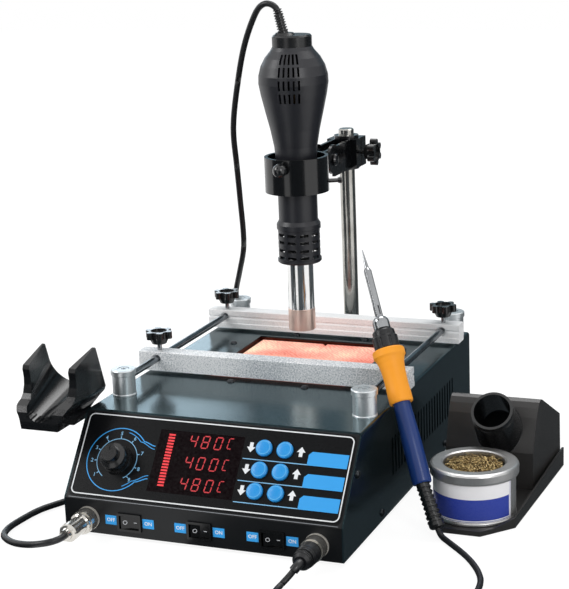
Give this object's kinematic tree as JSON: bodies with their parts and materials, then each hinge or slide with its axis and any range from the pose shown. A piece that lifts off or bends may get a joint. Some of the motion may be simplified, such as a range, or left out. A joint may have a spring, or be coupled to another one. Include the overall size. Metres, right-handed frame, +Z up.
{
  "type": "soldering and preheating rework station",
  "caption": "Bench rework station: steel housing with a glowing preheater under two sliding board bars, hot air gun on a pole, soldering iron, stand and tip cleaner.",
  "frame": {"origin": "on the table under the middle of the housing", "axes": "+X to the right and +Z up, seen by a user at the control panel; +Y from the panel towards the pole at the back"},
  "size_m": [0.4015, 0.5068, 0.4078],
  "materials": {
    "black_steel": "satin black powder coat",
    "cover_steel": "satin black powder coat",
    "panel_film": "black printed film",
    "smoked_red": "smoked red window",
    "circuit_board": "green board with black parts",
    "switch_black": "glossy black",
    "nickel": "nickel plate",
    "inlet_black": "black thermoplastic",
    "tray_steel": "heat-darkened steel",
    "glowing_ceramic": "glazed ceramic, glowing",
    "turned_aluminium": "turned",
    "bar_aluminium": "extruded, satin",
    "rod_steel": "ground steel",
    "screw_steel": "zinc plate",
    "foot_rubber": "black rubber",
    "knob_black": "moulded black nylon",
    "key_blue": "light blue",
    "arm_black": "semi-gloss black",
    "gun_plastic": "fine textured black",
    "blower_grey": "grey nylon",
    "mica_core": "mica and wire",
    "hot_steel": "stainless, slightly heat-stained",
    "stand_black": "black powder coat",
    "tin_plate": "tinplate with a printed band",
    "brass_shavings": "loose brass wool",
    "iron_steel": "plated steel and black collar",
    "handle_blue": "dark blue",
    "grip_orange": "orange silicone",
    "relief_black": "black rubber",
    "cord_black": "black rubber cord"
  },
  "bodies": {
    "housing": {"base_tray": "black_steel", "top_cover": "cover_steel", "front_panel": "black_steel", "rear_panel": "black_steel", "panel_overlay": "panel_film", "display_window": "smoked_red", "control_boards": "circuit_board", "switch_frames": "switch_black", "panel_sockets": "nickel", "mains_inlet": "inlet_black", "heater_tray": "tray_steel", "heater_tiles": "glowing_ceramic", "bar_posts": "turned_aluminium", "guide_rods": "rod_steel", "pole": "rod_steel", "pole_bracket": "arm_black", "gun_cradle": "arm_black", "cover_screws": "screw_steel", "rubber_feet": "foot_rubber", "cord_plugs": "nickel", "gun_cord_lower": "cord_black", "iron_cord": "cord_black", "iron_coil": "cord_black"},
    "air_dial": {"air_knob": "knob_black"},
    "switch_air": {"rocker_air": "switch_black"},
    "switch_preheat": {"rocker_preheat": "switch_black"},
    "switch_iron": {"rocker_iron": "switch_black"},
    "key_air_down": {"button_air_down": "key_blue"},
    "key_air_up": {"button_air_up": "key_blue"},
    "key_plate_down": {"button_plate_down": "key_blue"},
    "key_plate_up": {"button_plate_up": "key_blue"},
    "key_iron_down": {"button_iron_down": "key_blue"},
    "key_iron_up": {"button_iron_up": "key_blue"},
    "bar_front": {"front_bar": "bar_aluminium"},
    "bar_rear": {"rear_bar": "bar_aluminium"},
    "star_front_left": {"knob_front_left": "knob_black"},
    "star_front_right": {"knob_front_right": "knob_black"},
    "star_rear_left": {"knob_rear_left": "knob_black"},
    "star_rear_right": {"knob_rear_right": "knob_black"},
    "bush": {"pole_bush": "knob_black"},
    "arm": {"swing_arm": "arm_black"},
    "arm_star": {"clamp_knob": "knob_black"},
    "ring": {"holding_ring": "arm_black", "ring_screws": "knob_black"},
    "gun": {"gun_shell_front": "gun_plastic", "gun_shell_back": "gun_plastic", "gun_end_cap": "gun_plastic", "gun_heater": "mica_core", "gun_collar": "gun_plastic", "gun_tube": "hot_steel", "gun_cord_upper": "cord_black"},
    "blower": {"gun_fan": "blower_grey"},
    "stand": {"iron_stand": "stand_black"},
    "tin": {"tin_can": "tin_plate", "brass_wool": "brass_shavings"},
    "tin_lid": {"tin_ring": "tin_plate"},
    "iron": {"iron_tip": "iron_steel", "iron_handle": "handle_blue", "iron_grip": "grip_orange", "iron_relief": "relief_black"}
  },
  "joints": [
    {"name": "air_dial_turn", "type": "hinge", "parent": "housing", "child": "air_dial", "pos_m": [-0.0803, -0.15205, 0.05839], "axis": [0, -0.7802, 0.6255], "range_deg": [-150, 150]},
    {"name": "switch_air_rock", "type": "hinge", "parent": "housing", "child": "switch_air", "pos_m": [-0.0617, -0.17, 0.0153], "axis": [0, 0, -1], "range_deg": [0, 16]},
    {"name": "switch_preheat_rock", "type": "hinge", "parent": "housing", "child": "switch_preheat", "pos_m": [-0.0003, -0.17, 0.0153], "axis": [0, 0, -1], "range_deg": [0, 16]},
    {"name": "switch_iron_rock", "type": "hinge", "parent": "housing", "child": "switch_iron", "pos_m": [0.0616, -0.17, 0.0153], "axis": [0, 0, -1], "range_deg": [0, 16]},
    {"name": "key_air_down_press", "type": "slide", "parent": "housing", "child": "key_air_down", "axis": [0, 0.7802, -0.6255], "range_m": [0, 0.0012], "stiffness_N_per_m": 400, "springref_m": -0.002},
    {"name": "key_air_up_press", "type": "slide", "parent": "housing", "child": "key_air_up", "axis": [0, 0.7802, -0.6255], "range_m": [0, 0.0012], "stiffness_N_per_m": 400, "springref_m": -0.002},
    {"name": "key_plate_down_press", "type": "slide", "parent": "housing", "child": "key_plate_down", "axis": [0, 0.7802, -0.6255], "range_m": [0, 0.0012], "stiffness_N_per_m": 400, "springref_m": -0.002},
    {"name": "key_plate_up_press", "type": "slide", "parent": "housing", "child": "key_plate_up", "axis": [0, 0.7802, -0.6255], "range_m": [0, 0.0012], "stiffness_N_per_m": 400, "springref_m": -0.002},
    {"name": "key_iron_down_press", "type": "slide", "parent": "housing", "child": "key_iron_down", "axis": [0, 0.7802, -0.6255], "range_m": [0, 0.0012], "stiffness_N_per_m": 400, "springref_m": -0.002},
    {"name": "key_iron_up_press", "type": "slide", "parent": "housing", "child": "key_iron_up", "axis": [0, 0.7802, -0.6255], "range_m": [0, 0.0012], "stiffness_N_per_m": 400, "springref_m": -0.002},
    {"name": "front_bar_slide", "type": "slide", "parent": "housing", "child": "bar_front", "axis": [0, 1, 0], "range_m": [-0.001, 0.06]},
    {"name": "rear_bar_slide", "type": "slide", "parent": "housing", "child": "bar_rear", "axis": [0, 1, 0], "range_m": [-0.06, 0.01]},
    {"name": "star_front_left_turn", "type": "hinge", "parent": "bar_front", "child": "star_front_left", "pos_m": [-0.1075, -0.014, 0.12], "axis": [0, 0, 1], "continuous": true},
    {"name": "star_front_right_turn", "type": "hinge", "parent": "bar_front", "child": "star_front_right", "pos_m": [0.1075, -0.014, 0.12], "axis": [0, 0, 1], "continuous": true},
    {"name": "star_rear_left_turn", "type": "hinge", "parent": "bar_rear", "child": "star_rear_left", "pos_m": [-0.1075, 0.1326, 0.12], "axis": [0, 0, 1], "continuous": true},
    {"name": "star_rear_right_turn", "type": "hinge", "parent": "bar_rear", "child": "star_rear_right", "pos_m": [0.1075, 0.1326, 0.12], "axis": [0, 0, 1], "continuous": true},
    {"name": "arm_lift", "type": "slide", "parent": "housing", "child": "bush", "axis": [0, 0, 1], "range_m": [-0.014, 0.004], "deforming": ["gun_cord_upper"]},
    {"name": "arm_swivel", "type": "hinge", "parent": "bush", "child": "arm", "pos_m": [0, 0.184, 0.257], "axis": [0, 0, 1], "range_deg": [-30, 30], "deforming": ["gun_cord_upper"]},
    {"name": "arm_star_turn", "type": "hinge", "parent": "arm", "child": "arm_star", "pos_m": [0.02, 0.184, 0.2573], "axis": [1, 0, 0], "continuous": true},
    {"name": "ring_tilt", "type": "hinge", "parent": "arm", "child": "ring", "pos_m": [0, 0.1266, 0.2594], "axis": [1, 0, 0], "range_deg": [-12, 12], "deforming": ["gun_cord_upper"]},
    {"name": "gun_lift", "type": "slide", "parent": "ring", "child": "gun", "axis": [0, 0, 1], "range_m": [0, 0.165], "deforming": ["gun_cord_upper"]},
    {"name": "blower_spin", "type": "hinge", "parent": "gun", "child": "blower", "pos_m": [0, 0.0567, 0.335], "axis": [0, 0, 1], "continuous": true},
    {"name": "stand_move", "type": "slide", "parent": "housing", "child": "stand", "axis": [1, 0, 0], "range_m": [0, 0.08]},
    {"name": "tin_lift", "type": "slide", "parent": "stand", "child": "tin", "axis": [0.4, -0.3, 0.866], "range_m": [0, 0.06]},
    {"name": "tin_ring_lift", "type": "slide", "parent": "tin", "child": "tin_lid", "axis": [0, 0, 1], "range_m": [0, 0.012]},
    {"name": "iron_lift", "type": "slide", "parent": "housing", "child": "iron", "axis": [0, 0, 1], "range_m": [0, 0.15]}
  ]
}
